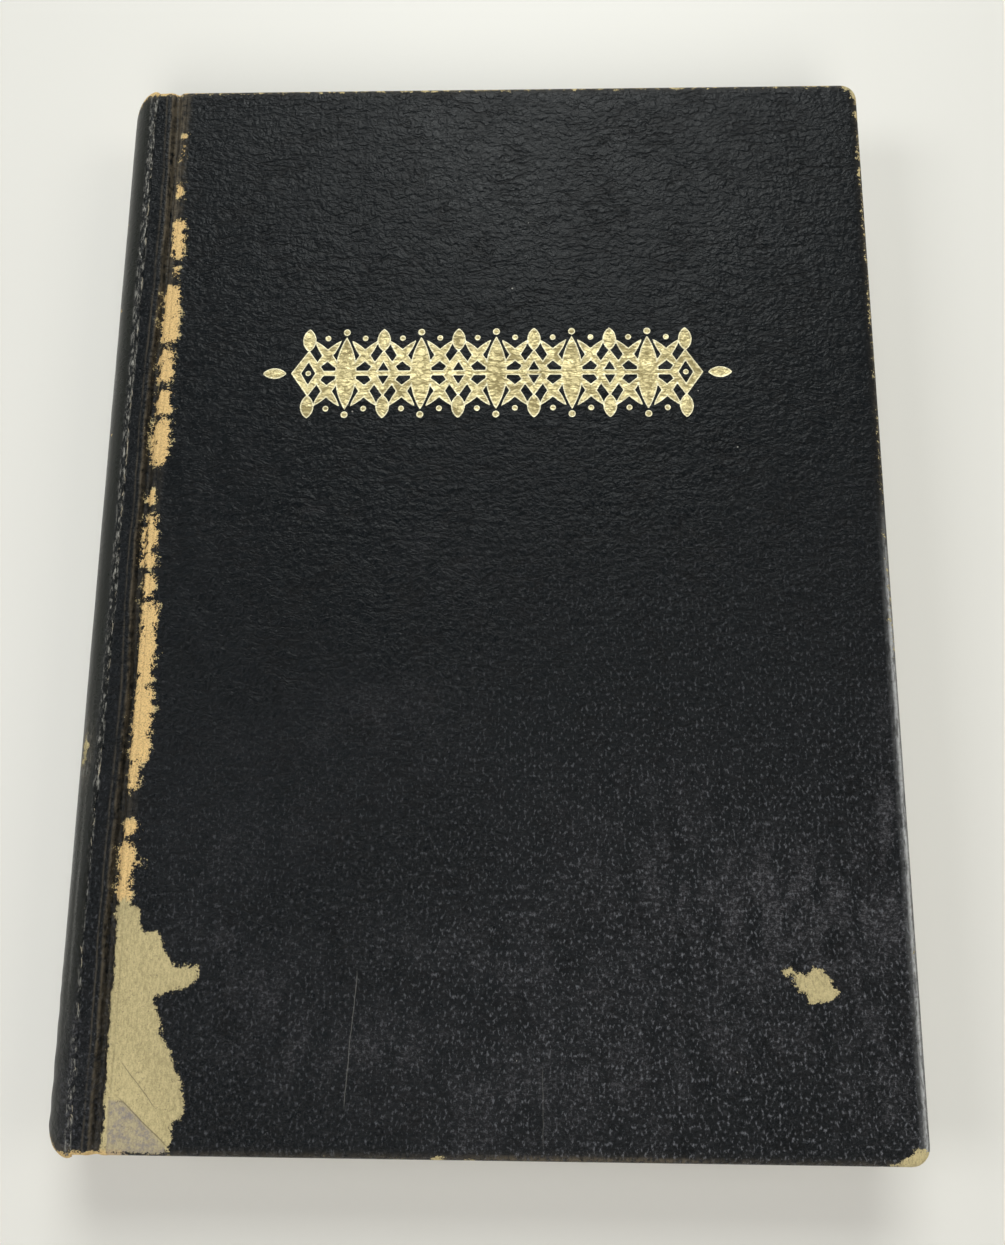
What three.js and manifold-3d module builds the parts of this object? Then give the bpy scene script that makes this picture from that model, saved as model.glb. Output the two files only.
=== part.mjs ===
// Pocket prayer book: a case-bound, sewn text block in black imitation leather.
// Millimetres, +Z up. The book lies on its back cover, with its spine towards -X and its head towards +Y.
// Inside this file, across runs from the spine's outermost line towards the fore edge, along runs from
// tail to head about the middle, and depth runs inwards from the outer face of either cover.
import * as THREE from "three";
import { mergeVertices } from "three/addons/utils/BufferGeometryUtils.js";
import Module from "manifold-3d";

const wasm = await Module();
wasm.setup();

// Driving dimensions
const bookWidth = 108;
const bookHeight = 148;
const bookThickness = 14;
const square = 3.2; // cover overhang beyond the leaves at head, tail and fore edge
const boardThickness = 2;
const boardStart = 8; // across, the board's spine-side edge
const boardCornerRadius = 2.4;
const sheetThickness = 0.35; // imitation leather
const glueGap = 0.03;
const turnIn = 13; // width of the sheet folded over the board's inner face
const mullThickness = 0.18;
const endpaperThickness = 0.13;
const leafGap = 0.03;
const gatheringCount = 12;
const crackDepth = 0.2; // the shoulder crack lies this far below the outer face
const crackAcross = 4.2; // the crack's distance from the spine's outermost line
const spineInlayThickness = 0.4;
const spineInlayAngle = 45; // degrees either side of the spine's middle
const backSemiAcross = 5.4; // the rounded and backed text block's back is half an ellipse
const backSemiHigh = 6;
const shoulderAngle = 62; // degrees, where the block's shoulders end on that ellipse
const flatStart = 9; // across, where the gatherings run flat
const threadStations = [-54, -18, 18, 54];

// Values worked out from them
const halfHeight = bookHeight / 2;
const middle = bookThickness / 2;
const halfChord = middle - crackDepth;
const spineRadius = (halfChord ** 2 + crackAcross ** 2) / (2 * crackAcross);
const boardTop = sheetThickness + glueGap;
const boardUnder = boardTop + boardThickness;
const turnInTop = boardUnder + glueGap;
const turnInUnder = turnInTop + sheetThickness;
const mullTop = turnInUnder + glueGap;
const pastedownTop = mullTop + mullThickness + glueGap;
const pastedownUnder = pastedownTop + endpaperThickness;
const flyleafTop = pastedownUnder + leafGap;
const blockTop = flyleafTop + endpaperThickness + leafGap;
const gatheringPitch = (bookThickness - 2 * blockTop) / gatheringCount;
const leafEnd = bookWidth - square;
const leafHalf = halfHeight - square;

const black = { color: 0x1b1e20, roughness: 0.45, metalness: 0 };
const greyboard = { color: 0x9a8f7c, roughness: 0.95, metalness: 0 };
const kraft = { color: 0xa98a5e, roughness: 0.9, metalness: 0 };
const paper = { color: 0xe9e1c9, roughness: 0.85, metalness: 0 };
const gauze = { color: 0xd8d2c0, roughness: 0.95, metalness: 0 };
const bandCloth = { color: 0xc9c2ad, roughness: 0.8, metalness: 0 };
const linen = { color: 0xd9cfb4, roughness: 0.8, metalness: 0 };

const book = new THREE.Group();
book.position.x = -bookWidth / 2;

function addPiece(name, geometry, look) {
  const piece = new THREE.Mesh(geometry, new THREE.MeshStandardMaterial(look));
  piece.name = name;
  book.add(piece);
}

function toSolid(geometry) {
  const bare = geometry.clone();
  bare.deleteAttribute("normal");
  bare.deleteAttribute("uv");
  const merged = mergeVertices(bare, 1e-4);
  return new wasm.Manifold(new wasm.Mesh({
    numProp: 3,
    vertProperties: new Float32Array(merged.attributes.position.array),
    triVerts: new Uint32Array(merged.index.array),
  }));
}

function toGeometry(solid) {
  const mesh = solid.getMesh();
  const geometry = new THREE.BufferGeometry();
  geometry.setAttribute("position", new THREE.BufferAttribute(new Float32Array(mesh.vertProperties), 3));
  geometry.setIndex(new THREE.BufferAttribute(new Uint32Array(mesh.triVerts), 1));
  geometry.computeVertexNormals();
  return geometry;
}

// A box from its limits; the order of the two heights doesn't matter.
function block(acrossFrom, acrossTo, halfAlong, heightA, heightB) {
  const low = Math.min(heightA, heightB);
  const high = Math.max(heightA, heightB);
  return new THREE.BoxGeometry(acrossTo - acrossFrom, 2 * halfAlong, high - low)
    .translate((acrossFrom + acrossTo) / 2, 0, (low + high) / 2);
}

// A section of [across, height] points, run from one place along the book to another.
function runAlong(points, alongFrom, alongTo) {
  const section = new THREE.Shape(points.map(([across, height]) => new THREE.Vector2(across, height)));
  return new THREE.ExtrudeGeometry(section, { depth: alongTo - alongFrom, bevelEnabled: false })
    .rotateX(Math.PI / 2)
    .translate(0, alongTo, 0);
}

// A plate with round corners at the fore edge, between two heights.
function roundedPlate(acrossFrom, acrossTo, halfAlong, radius, heightA, heightB) {
  const low = Math.min(heightA, heightB);
  const high = Math.max(heightA, heightB);
  const outline = new THREE.Shape();
  outline.moveTo(acrossFrom, -halfAlong);
  outline.lineTo(acrossTo - radius, -halfAlong);
  outline.absarc(acrossTo - radius, radius - halfAlong, radius, -Math.PI / 2, 0, false);
  outline.absarc(acrossTo - radius, halfAlong - radius, radius, 0, Math.PI / 2, false);
  outline.lineTo(acrossFrom, halfAlong);
  outline.closePath();
  return new THREE.ExtrudeGeometry(outline, { depth: high - low, bevelEnabled: false, curveSegments: 5 })
    .translate(0, 0, low);
}

// Points on a curve about the spine's centre line, from the back shoulder to the front one.
// The semi-axes are the distances across and in height, and the angle is in degrees.
function curveRound(semiAcross, semiHigh, angle, steps) {
  const points = [];
  for (let step = 0; step <= steps; step += 1) {
    const turn = THREE.MathUtils.degToRad(angle * (2 * step / steps - 1));
    points.push([spineRadius - semiAcross * Math.cos(turn), middle + semiHigh * Math.sin(turn)]);
  }
  return points;
}

// A curved strip between two such curves.
function band(outerAcross, outerHigh, thickness, angle, alongFrom, alongTo) {
  const outer = curveRound(outerAcross, outerHigh, angle, 16);
  const inner = curveRound(outerAcross - thickness, outerHigh - thickness, angle, 16);
  return runAlong([...outer, ...inner.reverse()], alongFrom, alongTo);
}

// The strip of sheet from the shoulder crack over the ridge and down the groove to the board,
// as [across, depth] points on its outer side and back along its inner side.
const jointOutline = [
  [4.32, 0.2], [5, 0.08], [6, 0.08], [6.35, 0.4], [6.7, 0.95], [7.05, 0.95], [7.4, 0.35], [7.75, 0.03], [8.3, 0],
  [8.3, 0.35], [7.92, 0.36], [7.68, 0.62], [7.25, 1.3], [6.5, 1.3], [6.1, 0.62], [5.85, 0.43], [5.05, 0.43], [4.52, 0.52],
];

// Board, sheet with its three turn-ins, pastedown and flyleaf of one cover.
// heightAt turns a depth below that cover's outer face into a height.
function addCover(side, heightAt) {
  const coverEnd = bookWidth - sheetThickness - glueGap;
  addPiece(
    `${side}_board`,
    roundedPlate(boardStart, coverEnd, halfHeight - boardTop, boardCornerRadius, heightAt(boardTop), heightAt(boardUnder)),
    greyboard,
  );

  const wrap = toSolid(roundedPlate(
    boardStart + 0.1, bookWidth, halfHeight, boardCornerRadius + boardTop, heightAt(0), heightAt(turnInUnder)));
  const boardRoom = toSolid(roundedPlate(
    0, coverEnd + glueGap, halfHeight - sheetThickness, boardCornerRadius + glueGap,
    heightAt(sheetThickness), heightAt(turnInTop)));
  const windowInTurnIns = toSolid(block(
    0, bookWidth - turnIn, halfHeight - turnIn, heightAt(boardUnder), heightAt(turnInUnder + 1)));
  const jointSection = jointOutline.map(([across, depth]) => [across, heightAt(depth)]);
  const jointStrip = toSolid(runAlong(jointSection, -halfHeight, halfHeight));
  const sheet = wrap.subtract(boardRoom).subtract(windowInTurnIns).add(jointStrip);
  addPiece(`${side}_leatherette`, toGeometry(sheet), black);

  // The pastedown lies over the turn-ins and sinks to the board between them.
  const margin = square - 0.4;
  const sink = turnIn + 0.6;
  const boardContact = boardUnder + glueGap;
  const mullEnd = 29;
  const over = toSolid(block(
    boardStart + 0.6, bookWidth - margin, halfHeight - margin, heightAt(pastedownTop), heightAt(pastedownUnder)));
  const tray = toSolid(block(
    mullEnd, bookWidth - sink, halfHeight - sink, heightAt(boardContact), heightAt(pastedownUnder)));
  const trayRoom = toSolid(block(
    mullEnd + endpaperThickness, bookWidth - sink - endpaperThickness, halfHeight - sink - endpaperThickness,
    heightAt(boardContact + endpaperThickness), heightAt(pastedownUnder + 1)));
  addPiece(`${side}_pastedown`, toGeometry(over.add(tray).subtract(trayRoom)), paper);

  addPiece(
    `${side}_flyleaf`,
    block(flatStart, leafEnd, leafHalf, heightAt(flyleafTop), heightAt(flyleafTop + endpaperThickness)),
    paper,
  );
}

addCover("front", (depth) => bookThickness - depth);
addCover("back", (depth) => depth);

// Spine of the case: the sheet rounds the spine and is turned in over the inlay at head and tail.
function addCaseSpine() {
  const sheetAngle = THREE.MathUtils.radToDeg(Math.asin(halfChord / spineRadius)) - 0.6;
  const flapRadius = spineRadius - sheetThickness - 2 * glueGap - spineInlayThickness;
  const sheet = toSolid(band(spineRadius, spineRadius, sheetThickness, sheetAngle, -halfHeight, halfHeight));
  let whole = sheet;
  for (const end of [-1, 1]) {
    const outside = end * halfHeight;
    const foldInside = end * (halfHeight - sheetThickness);
    const flapInside = end * (halfHeight - turnIn);
    const fold = band(
      spineRadius - sheetThickness / 2, spineRadius - sheetThickness / 2, spineRadius - flapRadius,
      spineInlayAngle, Math.min(outside, foldInside), Math.max(outside, foldInside));
    const flap = band(
      flapRadius, flapRadius, sheetThickness,
      spineInlayAngle, Math.min(outside, flapInside), Math.max(outside, flapInside));
    whole = whole.add(toSolid(fold)).add(toSolid(flap));
  }
  addPiece("spine_leatherette", toGeometry(whole), black);

  const inlayRadius = spineRadius - sheetThickness - glueGap;
  const inlayEnd = halfHeight - sheetThickness - glueGap;
  addPiece(
    "spine_inlay",
    band(inlayRadius, inlayRadius, spineInlayThickness, spineInlayAngle, -inlayEnd, inlayEnd),
    kraft,
  );
}

addCaseSpine();

// A gathering's fold lies on the block's round back, and its leaves run flat from flatStart.
// boundary gives the curve between two gatherings; 0 is the underside of the lowest one.
function boundary(index, gap) {
  const level = blockTop + index * gatheringPitch + gap;
  const share = (2 * index) / gatheringCount - 1;
  const turn = THREE.MathUtils.degToRad(shoulderAngle * share);
  const foldAcross = spineRadius - backSemiAcross * Math.cos(turn);
  const foldHeight = middle + backSemiHigh * Math.sin(turn) + gap;
  const points = [];
  const steps = 8;
  for (let step = 0; step <= steps; step += 1) {
    const along = step / steps;
    const ease = (1 - along) ** 3;
    points.push([
      foldAcross + (flatStart - foldAcross) * along,
      level + (foldHeight - level) * ease,
    ]);
  }
  points.push([leafEnd, level]);
  return points;
}

function addGatherings() {
  for (let index = 0; index < gatheringCount; index += 1) {
    const lower = boundary(index, leafGap / 2);
    const upper = boundary(index + 1, -leafGap / 2);
    const share = (2 * index + 1) / gatheringCount - 1;
    const turn = THREE.MathUtils.degToRad(shoulderAngle * share);
    const fold = [
      spineRadius - (backSemiAcross + 0.1) * Math.cos(turn),
      middle + (backSemiHigh + 0.1) * Math.sin(turn),
    ];
    const number = String(gatheringCount - index).padStart(2, "0");
    addPiece(`gathering_${number}`, runAlong([fold, ...lower, ...upper.reverse()], -leafHalf, leafHalf), paper);
  }
}

addGatherings();

// What is sewn and glued to the block's back: threads, head and tail bands, mull and paper liner.
function addBackLinings() {
  const threadThickness = 0.2;
  const threadOut = 0.15 + threadThickness;
  threadStations.forEach((station, index) => {
    addPiece(
      `sewing_thread_${index + 1}`,
      band(backSemiAcross + threadOut, backSemiHigh + threadOut, threadThickness, 60, station - 3, station + 3),
      linen,
    );
  });

  const bandOut = 0.15 + 0.3;
  for (const [name, end] of [["headband", 1], ["tailband", -1]]) {
    const inner = end * (leafHalf - 4);
    const outer = end * (leafHalf + 0.6);
    addPiece(
      name,
      band(backSemiAcross + bandOut, backSemiHigh + bandOut, 0.3, 50, Math.min(inner, outer), Math.max(inner, outer)),
      bandCloth,
    );
  }

  const mullOut = threadOut + glueGap + mullThickness;
  const mullHalf = leafHalf - 7;
  const flapEnd = 28;
  const outside = curveRound(backSemiAcross + mullOut, backSemiHigh + mullOut, 62, 18);
  const inside = curveRound(backSemiAcross + mullOut - mullThickness, backSemiHigh + mullOut - mullThickness, 62, 18);
  const frontOutside = [[6.1, 1.62], [7.3, mullTop], [flapEnd, mullTop]];
  const frontInside = [[flapEnd, mullTop + mullThickness], [7.2, mullTop + mullThickness], [6, 1.86]];
  const flip = ([across, depth]) => [across, bookThickness - depth];
  addPiece(
    "mull",
    runAlong([
      ...outside,
      ...frontOutside.map(flip),
      ...frontInside.map(flip),
      ...inside.reverse(),
      ...frontInside.toReversed(),
      ...frontOutside.toReversed(),
    ], -mullHalf, mullHalf),
    gauze,
  );

  const linerThickness = 0.12;
  const linerOut = mullOut + glueGap + linerThickness;
  addPiece(
    "spine_liner",
    band(backSemiAcross + linerOut, backSemiHigh + linerOut, linerThickness, 40, -mullHalf - 1, mullHalf + 1),
    kraft,
  );
}

addBackLinings();

export default book;
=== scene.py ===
import bpy
import numpy as np
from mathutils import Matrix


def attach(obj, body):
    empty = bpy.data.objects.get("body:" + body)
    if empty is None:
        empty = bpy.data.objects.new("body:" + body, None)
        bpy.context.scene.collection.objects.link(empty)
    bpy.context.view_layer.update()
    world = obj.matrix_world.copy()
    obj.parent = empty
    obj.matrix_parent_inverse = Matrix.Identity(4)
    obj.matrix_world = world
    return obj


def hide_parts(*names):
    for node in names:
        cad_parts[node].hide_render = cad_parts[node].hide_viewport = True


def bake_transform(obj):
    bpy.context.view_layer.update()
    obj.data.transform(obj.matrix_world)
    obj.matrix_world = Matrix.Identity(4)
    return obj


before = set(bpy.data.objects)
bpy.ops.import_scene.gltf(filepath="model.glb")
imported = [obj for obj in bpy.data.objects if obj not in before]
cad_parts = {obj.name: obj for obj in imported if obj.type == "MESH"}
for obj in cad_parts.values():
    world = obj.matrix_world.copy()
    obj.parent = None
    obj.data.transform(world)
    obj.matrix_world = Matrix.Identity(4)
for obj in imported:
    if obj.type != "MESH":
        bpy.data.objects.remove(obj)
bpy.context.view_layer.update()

print("frame loaded:", len(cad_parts), "CAD nodes")

# Lengths here are millimetres: across runs from the spine's edge of the CAD book, along from tail to head,
# and height from the table. place() turns them into the frame's metres.
book = {"width": 108.0, "halfHeight": 74.0, "thickness": 14.0, "sheet": 0.3}


def place(points):
    return (np.asarray(points, float) - [book["width"] / 2, 0, 0]) * 0.001


# ---- mesh helpers

# Quads between neighbours in a grid of point numbers, each from its first corner along the row.
def quadsOf(index, order=(0, 1, 2, 3)):
    quads = np.stack([index[:-1, :-1], index[:-1, 1:], index[1:, 1:], index[1:, :-1]], -1).reshape(-1, 4)
    return quads[:, order]


def gridFaces(rows, columns, first=0, flip=False):
    order = (3, 2, 1, 0) if flip else (0, 1, 2, 3)
    return quadsOf(np.arange(rows * columns).reshape(rows, columns) + first, order)


def makePiece(name, points, faces, material, values=None, sharp=None):
    mesh = bpy.data.meshes.new(name)
    if not isinstance(faces, list):  # a grid's faces, less any corner that repeats the one before it
        faces = [[c for i, c in enumerate(f) if c != f[i - 1]] for f in faces.tolist()]
    mesh.from_pydata(place(points).tolist(), [], faces)
    mesh.polygons.foreach_set("use_smooth", np.ones(len(mesh.polygons), bool))
    for key, value in (values or {}).items():
        value = np.broadcast_to(np.asarray(value, np.float32).ravel(), (len(mesh.vertices),))
        mesh.attributes.new(key, "FLOAT", "POINT").data.foreach_set("value", np.ascontiguousarray(value))
    if sharp:
        mesh.set_sharp_from_angle(angle=np.radians(sharp))
    mesh.materials.append(material)
    mesh.update()
    piece = bpy.data.objects.new(name, mesh)
    bpy.context.scene.collection.objects.link(piece)
    return piece


# Adds one modifier and applies it at once.
def applyModifier(piece, kind, **settings):
    modifier = piece.modifiers.new(kind.lower(), kind)
    for key, value in settings.items():
        setattr(modifier, key, value)
    graph = bpy.context.evaluated_depsgraph_get()
    old = piece.data
    piece.data = bpy.data.meshes.new_from_object(piece.evaluated_get(graph))
    piece.modifiers.clear()
    bpy.data.meshes.remove(old)
    piece.data.name = piece.name


# A grid of points as one surface, given a wall on the side away from its normals where a thickness is given.
def makeSheet(name, across, along, high, material, values=None, flip=False, wall=0):
    grid = np.stack(np.broadcast_arrays(across, along, high), -1)
    piece = makePiece(name, grid.reshape(-1, 3), gridFaces(*grid.shape[:2], flip=flip), material, values)
    if wall:
        applyModifier(piece, "SOLIDIFY", thickness=wall * 0.001, offset=-1)
    return piece


# A smooth curve through knots: cubic pieces whose slopes are those of the chord between the neighbours.
def curveThrough(knots, count):
    knots = np.asarray(knots, float)
    reach = np.r_[0, np.cumsum(np.linalg.norm(np.diff(knots, axis=0), axis=1))]
    slopes = np.gradient(knots, reach, axis=0)
    at = np.linspace(0, reach[-1], count)
    k = np.clip(np.searchsorted(reach, at, side="right") - 1, 0, len(knots) - 2)
    span = (reach[k + 1] - reach[k])[:, None]
    t = (at - reach[k])[:, None] / span
    return (knots[k] * (2 * t**3 - 3 * t**2 + 1) + slopes[k] * span * (t**3 - 2 * t**2 + t)
            + knots[k + 1] * (3 * t**2 - 2 * t**3) + slopes[k + 1] * span * (t**3 - t**2))


# A closed tube of round section along a path; the radius may change along it.
def tube(path, radius, sides=6):
    path = np.asarray(path, float)
    tangent = np.gradient(path, axis=0)
    tangent /= np.linalg.norm(tangent, axis=1)[:, None]
    up = np.where(np.abs(tangent[:, 2:]) < 0.9, [[0.0, 0.0, 1.0]], [[1.0, 0.0, 0.0]])
    side = np.cross(tangent, up)
    side /= np.linalg.norm(side, axis=1)[:, None]
    over = np.cross(side, tangent)
    turn = np.linspace(0, 2 * np.pi, sides, endpoint=False)
    radius = np.broadcast_to(radius, len(path))[:, None, None]
    ring = side[:, None] * np.cos(turn)[None, :, None] + over[:, None] * np.sin(turn)[None, :, None]
    points = (path[:, None] + ring * radius).reshape(-1, 3)
    index = np.arange(len(path) * sides).reshape(len(path), sides)
    index = np.hstack([index, index[:, :1]])
    quads = quadsOf(index, (1, 0, 3, 2)).tolist()
    return points, quads + [index[0, :-1].tolist(), index[-1, -2::-1].tolist()]


# Several tubes in one list of points and faces.
def joinParts(parts):
    points, faces, first = [], [], 0
    for partPoints, partFaces in parts:
        points.append(partPoints)
        faces += [[c + first for c in f] for f in partFaces]
        first += len(partPoints)
    return np.concatenate(points), faces


def ease(value, low, high):
    t = np.clip((np.asarray(value, float) - low) / (high - low), 0, 1)
    return t * t * (3 - 2 * t)


def bell(value, middle, width):
    return np.exp(-(((value - middle) / width) ** 2))


# Distance to a closed outline, positive inside it.
def insidePolygon(across, along, outline):
    p = np.stack([across, along], -1)[..., None, :]
    a = np.asarray(outline, float)
    b = np.roll(a, -1, axis=0)
    edge = b - a
    share = np.clip(((p - a) * edge).sum(-1) / (edge**2).sum(-1), 0, 1)
    distance = np.linalg.norm(p - a - share[..., None] * edge, axis=-1).min(-1)
    y, ya, yb = p[..., 1], a[:, 1], b[:, 1]
    crosses = (ya > y) != (yb > y)
    meet = a[:, 0] + (y - ya) / np.where(yb == ya, 1e-9, yb - ya) * edge[:, 0]
    inside = (crosses & (p[..., 0] < meet)).sum(-1) % 2 == 1
    return np.where(inside, distance, -distance)


# Distance to a box with rounded corners, positive inside it.
def insideBlob(across, along, top, bottom, left, right):
    halfA, halfB = (right - left) / 2, (top - bottom) / 2
    r = 0.8 * min(halfA, halfB)
    qa = np.abs(across - (left + right) / 2) - halfA + r
    qb = np.abs(along - (top + bottom) / 2) - halfB + r
    return r - np.hypot(np.maximum(qa, 0), np.maximum(qb, 0)) - np.minimum(np.maximum(qa, qb), 0)


# ---- node helpers

# A node's output that can be added, taken away and multiplied: each sign makes one Math node.
class Value:
    def __init__(self, tree, socket):
        self.tree, self.socket = tree, socket

    def __add__(self, other):
        return calc("ADD", self, other)

    def __sub__(self, other):
        return calc("SUBTRACT", self, other)

    def __rsub__(self, other):
        return calc("SUBTRACT", other, self)

    def __mul__(self, other):
        return calc("MULTIPLY", self, other)

    __radd__, __rmul__ = __add__, __mul__


def setInputs(tree, node, inputs):
    for key, value in inputs.items():
        if isinstance(value, Value):
            tree.links.new(value.socket, node.inputs[key])
        else:
            node.inputs[key].default_value = value
    return node


def addNode(tree, kind, inputs=None, **settings):
    node = tree.nodes.new("ShaderNode" + kind)
    for key, value in settings.items():
        setattr(node, key, value)
    return setInputs(tree, node, inputs or {})


def outputOf(tree, kind, inputs=None, output=0, **settings):
    return Value(tree, addNode(tree, kind, inputs, **settings).outputs[output])


def treeOf(values):
    return next(v.tree for v in values if isinstance(v, Value))


def calc(operation, *values):
    return outputOf(treeOf(values), "Math", dict(enumerate(values)), operation=operation)


def shiftVector(operation, a, b):
    return outputOf(a.tree, "VectorMath", {0: a, 1: b}, operation=operation)


def scaleVector(vector, amount):
    return outputOf(vector.tree, "VectorMath", {0: vector, "Scale": amount}, operation="SCALE")


def stretch(vector, x, y, z):
    return shiftVector("MULTIPLY", vector, (x, y, z))


def axes(vector):
    return [Value(vector.tree, s) for s in addNode(vector.tree, "SeparateXYZ", {0: vector}).outputs]


# A value taken from the range low..high to a..b, with soft ends.
def remap(value, low, high, a=0.0, b=1.0):
    inputs = {0: value, 1: low, 2: high, 3: a, 4: b}
    return outputOf(value.tree, "MapRange", inputs, interpolation_type="SMOOTHSTEP")


def blend(share, a, b):
    a, b = ((*c, 1) if isinstance(c, tuple) else c for c in (a, b))
    return outputOf(share.tree, "Mix", {0: share, 6: a, 7: b}, 2, data_type="RGBA", clamp_factor=True)


def noise(vector, scale, detail=3.0, roughness=0.5, output="Fac"):
    inputs = {"Vector": vector, "Scale": scale, "Detail": detail, "Roughness": roughness}
    return outputOf(vector.tree, "TexNoise", inputs, output)


def voronoi(vector, scale, feature="DISTANCE_TO_EDGE"):
    return outputOf(vector.tree, "TexVoronoi", {"Vector": vector, "Scale": scale}, "Distance", feature=feature)


def point(tree, name):
    return outputOf(tree, "Attribute", None, "Fac", attribute_name=name)


# Object coordinates in millimetres.
def millimetres(tree):
    return scaleVector(outputOf(tree, "TexCoord", None, "Object"), 1000.0)


def makeGroup(name, inputs, outputs, build):
    tree = bpy.data.node_groups.new(name, "ShaderNodeTree")
    for key, value in inputs.items():
        kind = "NodeSocketVector" if value is None else "NodeSocketFloat"
        socket = tree.interface.new_socket(name=key, in_out="INPUT", socket_type=kind)
        if value is not None:
            socket.default_value = value
    for key in outputs:
        tree.interface.new_socket(name=key, in_out="OUTPUT", socket_type="NodeSocketFloat")
    entry = tree.nodes.new("NodeGroupInput")
    end = tree.nodes.new("NodeGroupOutput")
    setInputs(tree, end, build({key: Value(tree, entry.outputs[key]) for key in inputs}))
    return tree


def useGroup(group, inputs):
    tree = treeOf(inputs.values())
    node = tree.nodes.new("ShaderNodeGroup")
    node.node_tree = group
    return {s.name: Value(tree, s) for s in setInputs(tree, node, inputs).outputs}


# ---- shared groups

# Leather grain: long lying wrinkles, cross creases, pebbles and a fine tooth. Height is in millimetres.
def buildGrain(given):
    vector = bent = given["Vector"]
    for scale, amount in ((0.22, 2.6), (1.1, 0.9)):
        step = shiftVector("SUBTRACT", noise(vector, scale, 2, output="Color"), (0.5, 0.5, 0.5))
        bent = shiftVector("ADD", bent, scaleVector(step, amount))
    longFolds = remap(voronoi(stretch(bent, 0.22, 1, 0.7), 0.72), 0, 0.12, 1, 0)
    longFolds = longFolds * remap(noise(vector, 0.16), 0.42, 0.62)
    lowFolds = noise(stretch(bent, 0.3, 1, 0.7), 0.9, 4, 0.6)
    fineFolds = remap(voronoi(stretch(bent, 0.55, 1, 0.8), 1.15), 0, 0.2, 1, 0)
    pebbles = voronoi(bent, 1.35, "F1")
    tooth = noise(vector, 1.9, 4, 0.7)
    height = given["Folds"] * (longFolds * -0.06 + lowFolds * 0.26)
    height = height + given["Pebble"] * (fineFolds * -0.035 + pebbles * -0.10 + tooth * 0.11)
    return {"Height": height, "Crease": calc("MAXIMUM", longFolds, fineFolds * 0.5)}


grainGroup = makeGroup("leatherGrain", {"Vector": None, "Folds": 1, "Pebble": 1}, ["Height", "Crease"], buildGrain)


# A hairline scratch running almost along the book: across = start + slope * along, between two heights.
def buildScratch(given):
    across, along, _ = axes(given["Vector"])
    wander = noise(given["Vector"], 0.3, 2) * 0.5 - 0.25
    off = calc("ABSOLUTE", across - (along * given["Slope"] + given["Start"]) - wander)
    near = remap(off, 0.02, given["Width"], 1, 0) * remap(along, given["Low"], given["Low"] + 1.5)
    return {"Mask": near * remap(along, given["High"] - 1.5, given["High"], 1, 0)}


scratchGroup = makeGroup(
    "hairScratch", {"Vector": None, "Start": 0, "Slope": 0, "Low": 0, "High": 1, "Width": 0.08}, ["Mask"],
    buildScratch)


# Lint and dust: a few tiny bright specks, one for some of the cells of a coarse pattern.
def buildSpecks(given):
    vector = given["Vector"]
    cells = addNode(vector.tree, "TexVoronoi", {"Vector": vector, "Scale": given["Density"]}, feature="F1").outputs
    chosen = remap(outputOf(vector.tree, "SeparateColor", {0: Value(vector.tree, cells["Color"])}), 0.45, 0.5)
    size = noise(vector, 4, 2) * 0.03 + Value(vector.tree, cells["Distance"])
    return {"Mask": remap(size, 0.026, 0.036, 1, 0) * chosen}


speckGroup = makeGroup("specks", {"Vector": None, "Density": 0.12}, ["Mask"], buildSpecks)


# A plain weave of two thread directions, from the piece's own across and along values in threads.
def buildWeave(given):
    a, b = (calc("SINE", given[key] * np.pi) for key in "AB")
    threads = calc("MAXIMUM", calc("ABSOLUTE", a), calc("ABSOLUTE", b))
    # the gap mask is where the threads part, used for painted shade there
    return {"Height": threads + a * b * 0.3, "Gap": remap(threads, 0.35, 0.75, 1, 0)}


weaveGroup = makeGroup("weave", {"A": 0, "B": 0}, ["Height", "Gap"], buildWeave)


# Paper and board fibres: soft mottling and a short felt of fibres.
def buildFibre(given):
    felt = noise(stretch(given["Vector"], 1, 0.35, 1), given["Scale"], 5, 0.7)
    return {"Felt": felt, "Cloud": noise(given["Vector"], given["Scale"] * 0.03)}


fibreGroup = makeGroup("fibre", {"Vector": None, "Scale": 3}, ["Felt", "Cloud"], buildFibre)


def newMaterial(name, **fixed):
    material = bpy.data.materials.new(name)
    material.use_nodes = True
    tree = material.node_tree
    shader = next(n for n in tree.nodes if n.type == "BSDF_PRINCIPLED")
    for key, value in fixed.items():
        shader.inputs[key].default_value = value
    return material, tree, shader


def bumpTo(shader, height):
    bump = outputOf(height.tree, "Bump", {"Height": height, "Strength": 1, "Distance": 0.001})
    setInputs(height.tree, shader, {"Normal": bump})


# ---- materials

leather = {
    # painted light among these colours: a darker black for shade in the grain's creases
    "black": (0.0030, 0.0046, 0.0058), "creaseShade": (0.0018, 0.0024, 0.0029), "haze": (0.020, 0.0195, 0.022),
    "spine": (0.017, 0.0185, 0.0155), "brown": (0.115, 0.095, 0.066), "khaki": (0.60, 0.505, 0.27),
    "khakiDark": (0.36, 0.30, 0.155), "golden": (0.80, 0.56, 0.25), "goldenDark": (0.50, 0.33, 0.14),
    "residue": (0.25, 0.222, 0.215), "lint": (0.42, 0.41, 0.37), "dry": (0.105, 0.104, 0.112),
    # painted light: a grey for glints of light on the grain
    # painted light: a pale grey for a highlight along the rounded fore edge
    "paintedGlint": (0.150, 0.154, 0.168), "paintedEdgeHighlight": (0.62, 0.63, 0.63), "specular": 0.15,
    # start, slope, low, high and width of two scratches in the coating, then of two folds in the bare backing
    "scratches": [(-12.3, 0.0675, -68.5, -51.5), (7.4, 0.0, -72.6, -62.5),
                  (-101.5, -0.9, -69.0, -62.5, 0.12), (-120.7, -1.132, -73.6, -66.6, 0.2)],
}


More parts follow.
